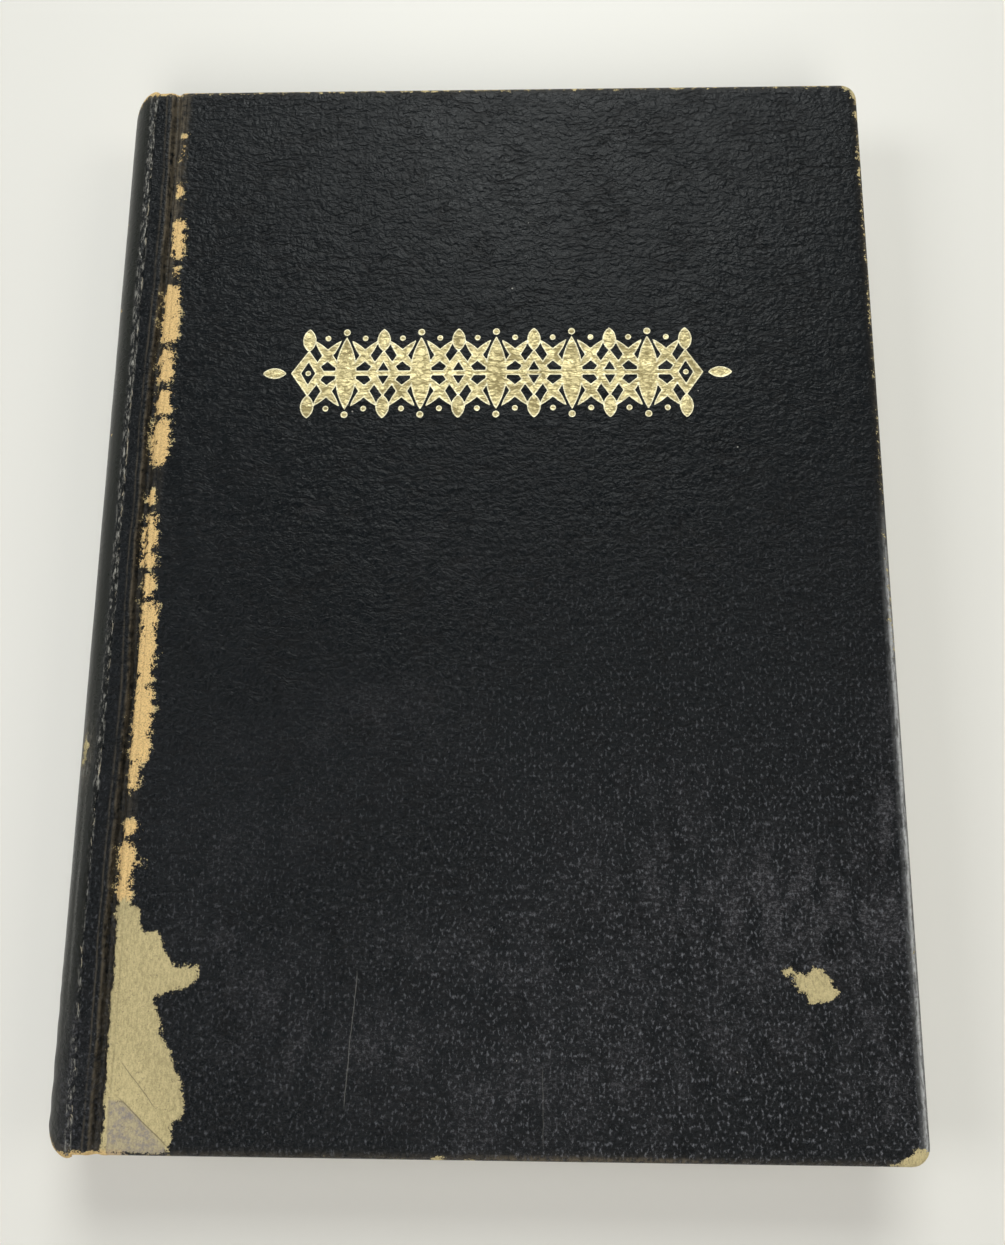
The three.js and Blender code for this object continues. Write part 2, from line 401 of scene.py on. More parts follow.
# One finish for every part of the covering: coated black, worn through to its tan backing where the point
# values say.
def makeLeatherette():
    look = leather
    material, tree, shader = newMaterial("leatherette")
    shader.inputs["Specular IOR Level"].default_value = look["specular"]
    p = millimetres(tree)
    x, y, z = axes(p)
    worked, plain = point(tree, "worked"), point(tree, "plain")  # plain: stretched smooth on the spine
    lowRight = remap(y, 30, -45) * remap(x, -30, 30)
    folds = remap(y, -60, 10, 0.45, 1) * (plain * -0.93 + 1)
    pebble = (lowRight * 0.9 + remap(y, 20, -45, 0.7, 1.35)) * (plain * -0.85 + 1)
    grain = useGroup(grainGroup, {"Vector": p, "Folds": folds, "Pebble": pebble})

    # worn through above zero, with a ragged outline
    rough, tiny = noise(p, 1.25, 5, 0.68), noise(p, 5, 3, 0.6)
    ragged = rough * 3.6 + tiny * 1.1 + noise(p, 0.55, 2) * 1.6 - 3.15
    worn = point(tree, "worn") + ragged * point(tree, "ragged")
    bare = remap(worn, -0.03, 0.05)
    # a painted highlight: the coating's lip round worn spots, lighter and brownish
    paintedLipHighlight = remap(worn, -0.22, 0) * (1 - bare)

    # grey haze and rubbed high points, stronger towards the tail; painted glints on the grain, stronger low and to
    # the right; a painted highlight along the fore edge
    cloud = noise(p, 0.045, 5, 0.62)
    smear = noise(stretch(p, 1, 0.4, 1), 0.35, 4, 0.65)
    low = remap(y, -8, -62)
    hazy = low * remap(cloud, 0.40, 0.66) * remap(smear, 0.25, 0.7, 0, 0.5)
    hazy = outputOf(tree, "Clamp", {0: hazy + point(tree, "scuff") * remap(smear, 0.38, 0.66)})
    # painted glints: grey specks for light caught by the grain's slopes
    paintedGlints = remap(noise(stretch(p, 1.3, 0.75, 1), 2, 3, 0.66), 0.53, 0.70)
    paintedGlints = paintedGlints * (lowRight * 0.5 + (low * 0.34 + 0.05))
    dry = remap(noise(stretch(p, 1, 1.6, 1), 1.9, 5, 0.8), 0.47, 0.66) * (hazy * 0.85 + 0.03)
    matt = plain * -0.9 + 1
    # a painted highlight along the rounded fore edge, in patches
    paintedEdgeHighlight = point(tree, "paintedEdgeHighlight") * remap(noise(stretch(p, 2, 0.5, 2), 1, 3, 0.6), 0.36, 0.52, 0.35, 1)

    # brown rubbing, frayed fibres, lint and scratches
    streaks = noise(stretch(p, 2.6, 0.12, 2.6), 1, 4, 0.7)
    rubbed = point(tree, "rub") * remap(rough * 0.5 + streaks * 0.5, 0.38, 0.58)
    frayed = point(tree, "fray") * remap(noise(stretch(p, 3.2, 0.75, 3.2), 1, 5, 0.75), 0.50, 0.62)
    specks = useGroup(speckGroup, {"Vector": p, "Density": 0.16})["Mask"]
    names = ("Start", "Slope", "Low", "High", "Width")
    lines = [useGroup(scratchGroup, {"Vector": p, **dict(zip(names, line))})["Mask"] for line in look["scratches"]]
    scratches = calc("MAXIMUM", lines[0], lines[1] * 0.6)
    marks = calc("MAXIMUM", specks * 0.8, scratches * 0.22) * calc("GREATER_THAN", z, 7)

    # painted shade: a darker black in the grain's creases
    colour = blend(grain["Crease"], look["black"], look["creaseShade"])
    # the last share lightens the coating's lip round worn spots with brown, a painted highlight
    for share, over in ((plain, "spine"), (hazy * 0.5, "haze"), (dry * matt, "dry"), (paintedGlints * matt, "paintedGlint"),
                        (paintedEdgeHighlight, "paintedEdgeHighlight"), (rubbed, "brown"), (frayed, "lint"), (marks, "lint"),
                        (paintedLipHighlight * 0.35, "brown")):
        colour = blend(share, colour, look[over])

    # the backing: khaki felt, golden where it is freshly worn, grey where glue is left
    felt = useGroup(fibreGroup, {"Vector": p, "Scale": 3.6})["Felt"]
    khaki = blend(remap(felt * 0.45 + cloud * 0.25 + tiny * 0.3, 0.38, 0.60), look["khakiDark"], look["khaki"])
    golden = blend(remap(tiny, 0.3, 0.6), look["goldenDark"], look["golden"])
    backing = blend(point(tree, "golden"), khaki, golden)
    residue = remap(point(tree, "residue") + ragged * 0.25, -0.15, 0.2) * remap(rough, 0.36, 0.60, 0.92, 0.35)
    backing = blend(residue, backing, look["residue"])
    flecks = remap(noise(p, 2.4, 4, 0.75), 0.60, 0.67)
    flecks = calc("MAXIMUM", flecks, calc("MAXIMUM", lines[2], lines[3]))
    backing = blend(flecks * 0.7, backing, look["brown"])

    gloss = grain["Crease"] * 0.10 + remap(cloud, 0.3, 0.7, 0.24, 0.33) + hazy * 0.04
    gloss = gloss + calc("MAXIMUM", rubbed, frayed) * 0.3 + bare * 0.5 + worked * -0.10
    setInputs(tree, shader, {"Base Color": blend(bare, colour, backing), "Roughness": calc("MINIMUM", gloss, 0.95)})
    wrinkles = noise(stretch(p, 1.5, 0.8, 1.5), 1.1, 4, 0.65)
    height = grain["Height"] * (1 - bare) + bare * (felt * 0.07 - 0.09) + frayed * 0.05
    bumpTo(shader, height + wrinkles * worked * 0.30)
    return material


# Stamped foil: gold over the same grain, with a painted highlight of pale gold along its raised rim, and dull where
# the creases broke it.
def makeFoil():
    material, tree, shader = newMaterial("giltFoil", Metallic=0.55)
    p = millimetres(tree)
    grain = useGroup(grainGroup, {"Vector": p, "Folds": 1, "Pebble": 0.7})
    breaks = noise(stretch(p, 0.55, 2.2, 1), 1.5, 4, 0.7)
    broken = remap(grain["Crease"] * 0.35 + breaks, 0.5, 0.78)
    rim = remap(point(tree, "foil"), 0.06, 0.26, 1, 0)
    colour = blend(broken, (0.74, 0.63, 0.33), (0.33, 0.27, 0.12))
    # painted highlight: pale gold along the foil's raised rim
    colour = blend(rim * 0.9, colour, (0.97, 0.9, 0.62))
    setInputs(tree, shader, {"Base Color": colour, "Roughness": broken * 0.22 + 0.36})
    bumpTo(shader, rim * 0.03 + grain["Height"] * 0.9 + broken * -0.02)
    return material


# Fibrous sheet: paper, board or kraft, in two tones with a soft felt.
def makeFibrous(name, light, dark, scale, relief):
    material, tree, shader = newMaterial(name, Roughness=0.9)
    fibre = useGroup(fibreGroup, {"Vector": millimetres(tree), "Scale": scale})
    share = remap(fibre["Felt"] * 0.5 + fibre["Cloud"] * 0.5, 0.35, 0.65)
    setInputs(tree, shader, {"Base Color": blend(share, dark, light)})
    bumpTo(shader, fibre["Felt"] * relief)
    return material


# Page block: aged paper whose cut edges show the single leaves as fine lines.
def makePages():
    material, tree, shader = newMaterial("pagePaper", Roughness=0.88)
    p = millimetres(tree)
    edge = point(tree, "edge")
    x, y, _ = axes(p)
    run = outputOf(tree, "CombineXYZ", {0: point(tree, "leaf") * 9, 1: y * 0.03, 2: x * 0.03})
    leaves = noise(run, 1.6, 5, 0.75)
    fibre = useGroup(fibreGroup, {"Vector": p, "Scale": 2.2})
    flat = blend(remap(fibre["Cloud"], 0.35, 0.65), (0.765, 0.70, 0.535), (0.80, 0.74, 0.58))
    cut = blend(remap(leaves, 0.38, 0.62), (0.42, 0.345, 0.215), (0.76, 0.685, 0.50))
    cut = blend(remap(fibre["Cloud"], 0.45, 0.7) * 0.15, cut, (0.50, 0.40, 0.24))
    setInputs(tree, shader, {"Base Color": blend(edge, flat, cut)})
    bumpTo(shader, fibre["Felt"] * 0.02 + leaves * edge * 0.22)
    return material


# Woven cloth, from the piece's own thread counts, with stripes for the bands and painted shade between the threads.
def makeWoven(name, light, dark, stripe=None):
    material, tree, shader = newMaterial(name, Roughness=0.9)
    a, b = point(tree, "threadA"), point(tree, "threadB")
    weave = useGroup(weaveGroup, {"A": a, "B": b})
    # painted shade: the darker tone between the threads
    colour = blend(weave["Gap"], light, dark)
    if stripe:
        colour = blend(remap(calc("SINE", a * 1.05), -0.25, 0.25) * 0.85, colour, stripe)
    setInputs(tree, shader, {"Base Color": colour})
    bumpTo(shader, weave["Height"] * 0.06)
    return material


# Thread or loose fibre, with a fine twist along it.
def makeThread(name, light, dark):
    material, tree, shader = newMaterial(name, Roughness=0.85)
    twist = noise(millimetres(tree), 7, 3, 0.6)
    setInputs(tree, shader, {"Base Color": blend(remap(twist, 0.35, 0.65), dark, light)})
    bumpTo(shader, twist * 0.03)
    return material


finish = {
    "leatherette": makeLeatherette(),
    "foil": makeFoil(),
    "pages": makePages(),
    "endpaper": makeFibrous("endpaper", (0.76, 0.69, 0.52), (0.715, 0.635, 0.46), 2.4, 0.02),
    "greyboard": makeFibrous("greyboard", (0.36, 0.315, 0.235), (0.24, 0.205, 0.15), 3.2, 0.10),
    "kraft": makeFibrous("kraftPaper", (0.42, 0.29, 0.155), (0.31, 0.205, 0.10), 2.8, 0.04),
    "mull": makeWoven("mull", (0.66, 0.62, 0.51), (0.36, 0.32, 0.25)),
    "band": makeWoven("bandCloth", (0.62, 0.56, 0.44), (0.36, 0.31, 0.23), stripe=(0.16, 0.035, 0.03)),
    "linen": makeThread("linenThread", (0.62, 0.55, 0.41), (0.40, 0.34, 0.24)),
    "fluff": makeThread("looseFibre", (0.56, 0.50, 0.38), (0.30, 0.26, 0.19)),
}
print("materials made:", len(finish))

# ---- wear on the front cover, as shapes on its face in (across, along)

wear = {
    "patch": [
        (7.1, -44.6), (8.5, -41.2), (8.8, -44.8), (9.8, -44.3), (10.6, -47.6), (12.6, -47.6), (14.2, -50.4),
        (14.8, -51.4), (18.1, -51.7), (18.0, -53.7), (16.2, -54.4), (13.8, -55.2), (12.3, -55.2), (13.2, -56.9),
        (14.4, -60.3), (16.2, -63.5), (17.0, -65.4), (17.4, -69.1), (16.1, -70.0), (16.2, -72.4), (15.8, -73.6),
        (7.6, -73.4), (7.5, -64.1), (7.1, -57.0), (7.5, -51.8)],
    "chips": [
        [(92.6, -51.6), (94.2, -51.9), (94.9, -51.2), (96.4, -51.8), (97.2, -52.9), (97.9, -54.1), (97.2, -55.2),
         (95.6, -55.0), (94.3, -55.4), (93.9, -54.1), (92.2, -52.9)],
        [(106.0, -71.5), (107.2, -72.0), (108.4, -72.6), (108.4, -74.4), (106.2, -74.4), (102.3, -74.1),
         (104.2, -73.3), (105.5, -72.4)],
        [(104.6, 74.4), (105.4, 73.4), (106.6, 72.9), (107.2, 71.6), (108.4, 70.9), (108.4, 74.4)],
        [(91.0, -51.3), (92.0, -51.0), (92.7, -51.9), (91.6, -52.0)]],
    # blobs beside the groove: upper and lower end, left and right side
    "strip": [
        (66.5, 61.5, 8.0, 8.7), (58.5, 56, 7.7, 8.8), (52.5, 46, 7.6, 9.6), (45.2, 43, 8.2, 9.0), (42, 33, 6.9, 9.5),
        (32.3, 27, 6.9, 9.2), (26, 22, 7, 9.4), (21.5, 14.6, 6.9, 9.4), (11, 9, 7, 7.9), (7.6, 0, 6.8, 8.8),
        (-0.9, -4.5, 7.2, 8.9), (-4.5, -16, 7.3, 9.6), (-16.2, -26.4, 7, 9.9), (-26.4, -30, 7.2, 8.8),
        (-33.7, -36, 7.1, 9.2), (-36.4, -44, 6.9, 8.9), (-38.8, -39.5, 9.0, 9.6)],
    "residue": [(8.0, -67.5), (9.7, -67.5), (15.6, -72.8), (15.4, -74.2), (8.2, -74.2)],
    "edgeChips": [(43.6, 0.5), (48.6, 0.8), (52.6, 0.45)],  # across, half width
    # hazy spots: across, along, their two reaches and the strength
    "scuffs": [
        (22, -48.5, 3, 2.2, 0.9), (93, -50, 5, 3, 0.6), (105, -33, 1.6, 14, 0.9), (93, -44, 13, 6, 1.7),
        (52, -50, 16, 5, 0.4), (103, -62, 4, 9, 0.6), (98, -47.8, 0.5, 0.4, 1.5), (34, -61, 14, 4, 0.5),
        (60, -66, 16, 4, 0.45), (76, -38, 12, 9, 0.35), (48, 2, 7, 5, 0.25), (88, -60, 10, 5, 0.5),
        (40, -20, 12, 6, 0.25), (30, 8, 0.9, 0.5, 1.0), (24, -55, 4, 3, 0.5)],
}


# The point values that the covering's finish reads; it is worn through where "worn" is above zero. depth is the
# distance inwards from the cover's face.
def wearValues(across, along, depth, side):
    across, along, depth = (np.asarray(v, float).ravel() for v in (across, along, depth))
    zero, none = np.zeros(len(across)), np.full(len(across), -6.0)
    inset = np.minimum(book["width"] - across, book["halfHeight"] - np.abs(along))
    rim = bell(np.maximum(inset, 0) + depth, 0.45, 0.4) * (depth < 2.0)
    headWear = ease(along, 72.5, 73.8) + ease(along, 20, 60) * ease(across, 105, 107.3)
    edgeLine = 0.55 * rim * np.clip(headWear + 0.25, 0, 1) - 0.62
    edgeLine = edgeLine - 3 * ease(inset, 0.7, 2.2) - 1.2 * ease(depth, 0.5, 1.1)
    cap = np.maximum(along - 73.05 - 0.03 * across, -along - 73.2) * 1.3 * (depth < 1.5) - 0.25
    spineEnd = np.where(across < 11, cap - 0.12 * np.maximum(across - 8.5, 0), none)
    shapes, looseness, bottomLine = [edgeLine, spineEnd], 0.4, 0
    patch, strip, scuff, residue, paintedEdgeHighlight = none, none, zero + 0.25, none, zero
    if side == "front":
        patch = insidePolygon(across, along, wear["patch"])
        strip = np.max([insideBlob(across, along, *b) - 0.16 * (b[0] > 43) for b in wear["strip"]], axis=0)
        shapes += [patch, strip] + [insidePolygon(across, along, c) for c in wear["chips"]]
        shapes += [w - np.hypot(across - s, (along + 73.75) * 2.2) for s, w in wear["edgeChips"]]
        scuff = sum(w * bell(across, s, a) * bell(along, y, b) for s, y, a, b, w in wear["scuffs"])
        residue = insidePolygon(across, along, wear["residue"])
        # a painted highlight along the rounded fore edge, on its lower part
        paintedEdgeHighlight = 0.9 * bell(book["width"] - across, 0.55, 0.32) * ease(-along, -12, 8) * (depth < 1)
        looseness = 0.30 + 0.6 * ease(along, 30, 60)
        bottomLine = bell(along, -73.6, 0.35) * ease(across, 50, 60) * ease(-across, -84, -76)
    else:
        shapes.append(1.9 - np.hypot(107.6 - across, 73.6 - np.abs(along)))
    golden = ease(strip, -0.5, 0.1) * (patch < strip) + ease(spineEnd, -0.6, 0) * 0.8
    rubZone = ease(across, 5.9, 6.4) * ease(-across, -9.4, -7.7) * looseness
    rub = 0.8 * bell(across, 6.05, 0.16) + 0.5 * bell(across, 5.3, 0.12) + rubZone + 0.45 * rim
    return {
        "worn": np.max(shapes, axis=0), "golden": np.clip(golden + ease(edgeLine, -0.5, -0.1) * 0.3, 0, 1),
        "scuff": scuff, "rub": np.clip(np.clip(rub, 0, 1) + bottomLine, 0, 1), "residue": residue, "paintedEdgeHighlight": paintedEdgeHighlight,
        "ragged": np.where(strip > patch, 1.15, 0.6), "fray": 0.95 * bell(across, 3.62, 0.17), "plain": zero,
        "worked": ease(-across, -6.6, -5.8) * (across > 3) * (0.5 + 0.5 * ease(-along, 0, 50)),
    }


# ---- covers

coverShape = {
    "start": 8.2, "corner": 2.4, "warp": 0.045,
    # (distance in from the outline, depth): over the edge, down the side and under to the turn-in's end
    "rings": [(1.6, 0.01), (1.0, 0.05), (0.55, 0.16), (0.25, 0.36), (0.08, 0.65), (0, 1.0), (0, 1.8), (0.06, 2.25),
              (0.25, 2.55), (0.6, 2.72), (1.2, 2.76), (3, 2.76), (7, 2.76), (12.8, 2.76), (13.0, 2.7)],
}


# How far the board lies below a true plane: two long waves, gone at the edges.
def coverWarp(across, along):
    fade = ease(book["width"] - across, 0, 12) * ease(book["halfHeight"] - np.abs(along), 0, 12) * ease(across, 8, 16)
    waves = np.sin(across / 17 + 1.1) * np.cos(along / 23 - 0.4) + 0.5 * np.sin(across / 7.5 + along / 11)
    return coverShape["warp"] * fade * waves


# The cover's face is a grid; rings offset from the face's outline carry the sheet over three edges and under the
# board, with a fan of points round each of the two outer corners.
def makeCover(side):
    shape = coverShape
    r = shape["corner"]
    endAcross, endAlong = book["width"] - r, book["halfHeight"] - r
    across = [np.arange(shape["start"], 20, 0.8), np.linspace(20, endAcross, 70)]
    if side == "front":  # finer where the worn patches and the chip are
        across = [np.arange(shape["start"], 20, 0.36), np.arange(20, 90, 1.1), np.arange(90, 99, 0.5)]
        across.append(np.linspace(99, endAcross, 9))
    across = np.concatenate(across)
    along = np.linspace(-endAlong, endAlong, 287 if side == "front" else 120)
    nAcross, nAlong = len(across), len(along)
    gridAcross, gridAlong = np.meshgrid(across, along)
    index = np.arange(nAlong * nAcross).reshape(nAlong, nAcross)
    fan = np.linspace(-90, 0, 9)[1:-1]
    corners = [np.repeat(index[k, -1], len(fan)) for k in (0, -1)]
    path = np.r_[index[0], corners[0], index[:, -1], corners[1], index[-1, ::-1]]
    flat = np.full(nAcross, 90)
    angle = np.radians(np.r_[-flat, fan, np.zeros(nAlong), 90 + fan, flat])
    baseAcross, baseAlong = gridAcross.ravel()[path], gridAlong.ravel()[path]
    pAcross, pAlong, pDepth = [gridAcross.ravel()], [gridAlong.ravel()], [coverWarp(gridAcross, gridAlong).ravel()]
    rows = [path]
    for number, (inset, depth) in enumerate(shape["rings"]):
        radius = max(r - inset, 0.3)
        shrinkAcross = (book["width"] - inset - radius - shape["start"]) / (endAcross - shape["start"])
        shrinkAlong = (book["halfHeight"] - inset - radius) / endAlong
        pAcross.append(shape["start"] + (baseAcross - shape["start"]) * shrinkAcross + np.cos(angle) * radius)
        pAlong.append(baseAlong * shrinkAlong + np.sin(angle) * radius)
        pDepth.append(np.full(len(path), depth))
        rows.append(index.size + number * len(path) + np.arange(len(path)))
    faces = np.concatenate([gridFaces(nAlong, nAcross), quadsOf(np.array(rows), (0, 3, 2, 1))])
    a, l, d = map(np.concatenate, (pAcross, pAlong, pDepth))
    values = wearValues(a, l, d, side)
    d = d + 0.035 * ease(values["worn"], -0.1, 0.25) * (d < 0.2)
    height = book["thickness"] - d if side == "front" else np.maximum(d, 0)
    faces = faces[:, ::-1] if side == "back" else faces
    piece = makePiece(side + "Covering", np.stack([a, l, height], -1), faces, finish["leatherette"], values)
    applyModifier(piece, "SOLIDIFY", thickness=book["sheet"] * 0.001, offset=-1)
    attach(piece, side + "_cover")
    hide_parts(side + "_leatherette")


makeCover("front")
makeCover("back")
print("covers made")

# ---- joints: from the shoulder crack over the ridge and down the groove to the board

jointShape = {
    "knots": [(3.40, 0.46), (3.50, 0.28), (3.75, 0.13), (4.3, 0.06), (4.75, 0.05), (5.2, 0.01), (5.7, -0.03),
              (6.02, 0.06), (6.3, 0.42), (6.6, 0.82), (6.9, 0.88), (7.15, 0.62), (7.4, 0.26), (7.7, 0.06),
              (8.2, 0.0)],
    "ridge": [(-74, 5.9), (-67, 5.95), (-38, 5.8), (-28, 6.1), (-14, 6.2), (0, 5.6), (11, 5.9), (21, 5.7), (38, 6.15),
              (53, 6.4), (74, 6.0)],
    "crack": [(-74, 3.5), (-67, 3.5), (-50, 3.05), (-42, 2.9), (-30, 3.3), (-10, 3.5), (20, 3.4), (45, 3.6),
              (74, 3.5)],
    # (along, added depth) over the end and back inside
    "ends": [(72.4, 0.01), (73.0, 0.05), (73.45, 0.16), (73.75, 0.36), (73.92, 0.56), (73.88, 0.68), (73.6, 0.75),
             (72, 0.76), (67, 0.76), (62, 0.76)],
}


# Small unevenness along the book: three waves, each given as its size, length and share of the seed.
def unevenness(along, seed):
    waves = ((0.5, 3.1, 1), (0.3, 1.37, 2), (0.2, 0.71, 5))
    return sum(size * np.sin(along / length + share * seed) for size, length, share in waves)


# How far the ridge or the crack stands from its usual place, with some unevenness.
def wander(along, name, usual, size, seed):
    return np.interp(along, *np.array(jointShape[name]).T) - usual + size * unevenness(along, seed)


# One strip of the joint, between two distances across: its profile's curve carried along the book, where the
# ridge and the crack wander, and turned in at both ends.
def makeJoint(side, name, low, high):
    profile = curveThrough(jointShape["knots"], 70)
    profile = profile[(profile[:, 0] >= low - 0.04) & (profile[:, 0] <= high + 0.04)]
    main = np.linspace(-71.6, 71.6, 360)
    ends = np.array(jointShape["ends"])
    along = np.r_[-ends[::-1, 0], main, ends[:, 0]][:, None]
    extra = np.r_[ends[::-1, 1], 0 * main, ends[:, 1]][:, None]
    a = profile[:, 0] + 0 * along
    nearCrack = ease(-a, -5.0, -3.6)
    shift = wander(along, "ridge", 6.0, 0.10, 1.0) * ease(a, 4.0, 5.6) * ease(-a, -7.6, -6.5)
    shift = shift + wander(along, "crack", 3.5, 0.08, 2.3) * nearCrack
    moved = a + shift * (1 if side == "front" else 0.3)
    wrinkles = 0.05 * np.sin(along * 2.1 + a * 1.4 + 2 * np.sin(along / 5)) * ease(-along, 35, 70) * nearCrack
    d = profile[:, 1] + 0.04 * unevenness(along, 4.0) * ease(-a, -7.4, -6.4) + wrinkles
    d = np.maximum(d, -0.08)
    d = d * (1 - 0.45 * ease(np.abs(along), 71.5, 74) * (d > 0.1)) + extra
    values = wearValues(a, along + 0 * a, extra + 0 * a, side)
    d = d + 0.035 * ease(values["worn"], -0.1, 0.25).reshape(a.shape) * (extra < 0.2)
    if side == "back":
        values["worn"] = np.minimum(values["worn"], 0.2)
    height = book["thickness"] - d if side == "front" else np.maximum(d, 0)
    piece = makeSheet(name, moved, along, height, finish["leatherette"], values, side == "back", book["sheet"])
    return piece


front = makeJoint("front", "frontJoint", 3.3, 8.2)
inner = makeJoint("back", "backJointInner", 3.3, 4.75)
outer = makeJoint("back", "backJointOuter", 4.75, 8.2)
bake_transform(front)
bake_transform(inner)
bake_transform(outer)
print("joints made")

# ---- spine

spineShape = {
    "centre": 4.2, "semiAcross": 4.9, "semiHigh": 6.85, "power": 2.3,
    # (distance in from the end, depth) of the fold at head and tail
    "folds": [(0.9, 0), (0.5, 0.04), (0.22, 0.14), (0.05, 0.3), (0, 0.45), (0.1, 0.62), (0.4, 0.7), (2, 0.72),
              (10, 0.72)],
    "nicks": [(0.9, 19.5), (0.6, 38.9), (0.5, 53.0)],
}


# Spine section: |across/semiAcross|^power + |high/semiHigh|^power = 1 about the centre line, with both edges
# turned down into the shoulder cracks; both ends are rounded off and folded in.
def makeSpine():
    shape = spineShape
    turn = np.linspace(-np.pi / 2, np.pi / 2, 96)
    power = 2 / shape["power"]
    unitAcross = np.abs(np.cos(turn)) ** power
    unitHigh = np.sign(np.sin(turn)) * np.abs(np.sin(turn)) ** power
    keep = unitAcross * shape["semiAcross"] > 0.98
    unitAcross, unitHigh = unitAcross[keep], unitHigh[keep]
    main = np.linspace(-1, 1, 300)
    folds = np.array(shape["folds"])
    share = unitAcross
    headEnd = 74 - 3.2 * share**2
    tailEnd = -74.1 + 3.3 * share**2.5
    rows = [tailEnd + folds[k, 0] for k in range(len(folds) - 1, -1, -1)]
    rows += [tailEnd + 1.0 + (headEnd - tailEnd - 2.0) * (m + 1) / 2 for m in main]
    rows += [headEnd - folds[k, 0] for k in range(len(folds))]
    inward = np.r_[folds[::-1, 1], 0 * main, folds[:, 1]][:, None]
    along = np.array(rows)
    tailPart = ease(-along, 45, 68)
    dents = 0.05 * np.sin(along * 1.9 + share * 7 + 2 * np.sin(along / 4)) * tailPart * (inward == 0)
    reach = shape["semiAcross"] - inward - dents - 0.02 * unevenness(along, 3.0) * (share > 0.3)
    a = shape["centre"] - unitAcross * reach
    a = a + wander(along, "crack", 3.5, 0.08, 2.3) * ease(a, 1.6, 3.1) * (unitHigh > 0)
    h = 7 + unitHigh * (shape["semiHigh"] - inward)
    a = np.hstack([a[:, :1] + [[0.36, 0.22]], a, a[:, -1:] + [[0.22, 0.36]]])
    h = np.hstack([h[:, :1] + [[0.34, 0.10]], h, h[:, -1:] - [[0.10, 0.34]]])
    along = np.pad(along, ((0, 0), (2, 2)), mode="edge")
    topDistance = np.where(h > 7, a, 0.5)
    fray = ease(topDistance, 2.75, 3.3) * 0.9
    frayed = bell(along, -25, 3.2) * bell(a, 1.2, 0.9) * (h > 7)
    nicks = sum(bell(along, y, 0.5) * bell(a, s, 0.35) for s, y in shape["nicks"])
    headRim, tailRim = np.pad(headEnd, 2, mode="edge"), np.pad(tailEnd, 2, mode="edge")
    rimWorn = np.maximum(0.95 - (headRim - along), 0.75 - (along - tailRim)) * (inward < 0.65) * 0.9 - 0.15
    worn = np.max([rimWorn, frayed * 1.3 - 1.05, nicks * 1.4 - 1.1], axis=0)
    plain = 1 - 0.8 * ease(topDistance, 2.5, 3.3)
    values = {
        "worn": worn, "golden": 0.85 * np.clip(ease(rimWorn, -0.4, 0.1) + nicks, 0, 1), "ragged": 0.7,
        "scuff": 0.15 + 0.5 * tailPart[:, :1] + 0 * a, "rub": np.clip(frayed + 0.35 * ease(rimWorn, -1, 0), 0, 1),
        "fray": np.clip(fray + 0.6 * frayed, 0, 1), "residue": -6.0, "paintedEdgeHighlight": 0.0,
        "plain": plain - 0.5 * ease(-along, 50, 66) * ease(a, 1.0, 2.2),
        "worked": ease(topDistance, 1.5, 2.8) * (0.3 + 0.7 * ease(-along, 0, 50)),
    }
    piece = makeSheet("spineCovering", a, along, h, finish["leatherette"], values, True, book["sheet"])
    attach(piece, "case_spine")
    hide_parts("spine_leatherette")


makeSpine()
print("spine made")

# ---- gilt ornament: a plain frieze of pointed leaves, lozenges, rings and dots, the same on both sides of its middle

ornament = {"middle": (55.0, 28.2), "halfWidth": 33.6, "halfHeight": 7.2, "step": 0.17, "pitch": 5.3, "lift": 0.014}


# Distance fields, positive inside: a disc, a lozenge and a pointed leaf (two circles' common part).
def disc(x, y, r):
    return r - np.hypot(x, y)


def turned(x, y, degrees):
    c, s = np.cos(np.radians(degrees)), np.sin(np.radians(degrees))
    return x * c + y * s, -x * s + y * c


def lozenge(x, y, a, b):
    return (1 - np.abs(x) / a - np.abs(y) / b) * a * b / np.hypot(a, b)


def leafShape(x, y, a, b):
    r = (a * a + b * b) / (2 * a)
    return r - np.hypot(np.abs(x) + r - a, y)


# The same above and below its middle line: tall pointed leaves and open lozenges by turns, tied by crossed
# slips, with a dot over each leaf and a small leaf over each lozenge.
def friezeField(x, y):
    x, y = np.abs(x), np.abs(y)
    pitch = ornament["pitch"]
    parts = []
    for k in range(6):
        u = x - k * pitch
        if k % 2 == 0:
            parts += [leafShape(u, y, 1.5, 5.5), disc(u, y - 6.2, 0.5), lozenge(u, y, 2.1, 1.5)]
        else:
            parts += [np.minimum(lozenge(u, y, 2.45, 3.5), -lozenge(u, y, 1.0, 1.7)), disc(u, y, 0.4),
                      leafShape(u, y - 5.0, 0.95, 1.75)]
        if k < 5:
            for way in (1, -1):
                a, b = turned(u - pitch / 2, y - 2.7, way * 40)
                parts.append(leafShape(a, b, 0.62, 3.0))
            parts.append(disc(u - pitch / 2, y - 5.3, 0.42))
    parts += [leafShape(y, x - 5.9 * pitch, 0.8, 1.7)]
    parts.append(np.minimum(0.38 - np.abs(y), 25 - x))
    return np.max(parts, axis=0)


